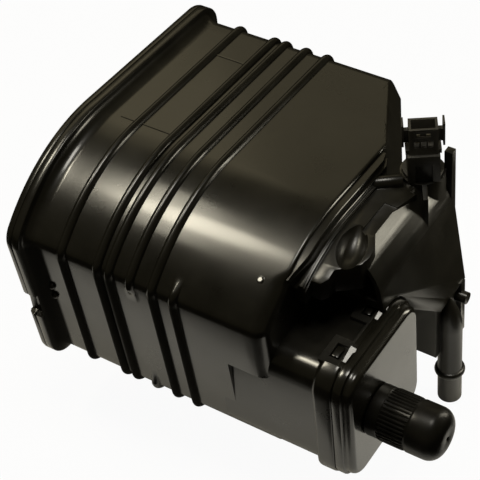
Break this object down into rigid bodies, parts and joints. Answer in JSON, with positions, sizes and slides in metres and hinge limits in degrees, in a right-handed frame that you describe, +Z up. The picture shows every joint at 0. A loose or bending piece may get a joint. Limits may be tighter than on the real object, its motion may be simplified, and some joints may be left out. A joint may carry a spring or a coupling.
{
  "type": "charcoal canister",
  "caption": "Ribbed black fuel vapour canister with a domed crown, a snap-lid filter box with a capped vent tube, a hose port and an electric vent valve.",
  "frame": {"origin": "on the plain underside of the shell between the last rib and the filter box, in the middle of the depth", "axes": "+X along the shell from the end cover to the vent cap, +Y from the leaning front to the back, +Z up out of the seat"},
  "size_m": [0.2796, 0.2227, 0.2224],
  "materials": {
    "shell_plastic": "semi-gloss black moulded nylon with a fine grain",
    "lid_plastic": "smooth glossy black moulded nylon",
    "housing_plastic": "semi-gloss black moulded nylon",
    "valve_plastic": "dull black moulded plastic",
    "cap_rubber": "glossy black with grip grooves",
    "inner_plastic": "plain black plastic",
    "fleece": "needled fleece",
    "carbon": "black granules, shown as one block",
    "filter_paper": "folded filter paper",
    "seal_rubber": "soft black rubber",
    "spring_steel": "bright spring wire",
    "valve_steel": "plated steel",
    "terminal_metal": "tinned brass",
    "bobbin_plastic": "natural nylon",
    "coil_copper": "enamelled copper wire"
  },
  "bodies": {
    "canister": {"canister_body": "shell_plastic", "end_cover": "shell_plastic", "retainer_plate": "inner_plastic", "retainer_springs": "spring_steel", "cover_screen": "fleece", "carbon_bed": "carbon", "port_screen": "fleece", "filter_element": "filter_paper", "lid_seal": "seal_rubber", "filter_lid": "lid_plastic", "vent_cap": "cap_rubber", "side_housing": "housing_plastic", "valve_body": "valve_plastic", "valve_terminals": "terminal_metal", "valve_yoke": "valve_steel", "valve_bobbin": "bobbin_plastic", "valve_coil": "coil_copper", "valve_core": "valve_steel", "valve_spring": "spring_steel", "valve_o_ring": "seal_rubber"},
    "plunger": {"valve_plunger": "valve_steel", "valve_seal": "seal_rubber"}
  },
  "joints": [
    {"name": "vent_plunger", "type": "slide", "parent": "canister", "child": "plunger", "axis": [0, 0, 1], "range_m": [0, 0.0018], "stiffness_N_per_m": 300, "springref_m": -0.003, "deforming": ["valve_spring"]}
  ]
}
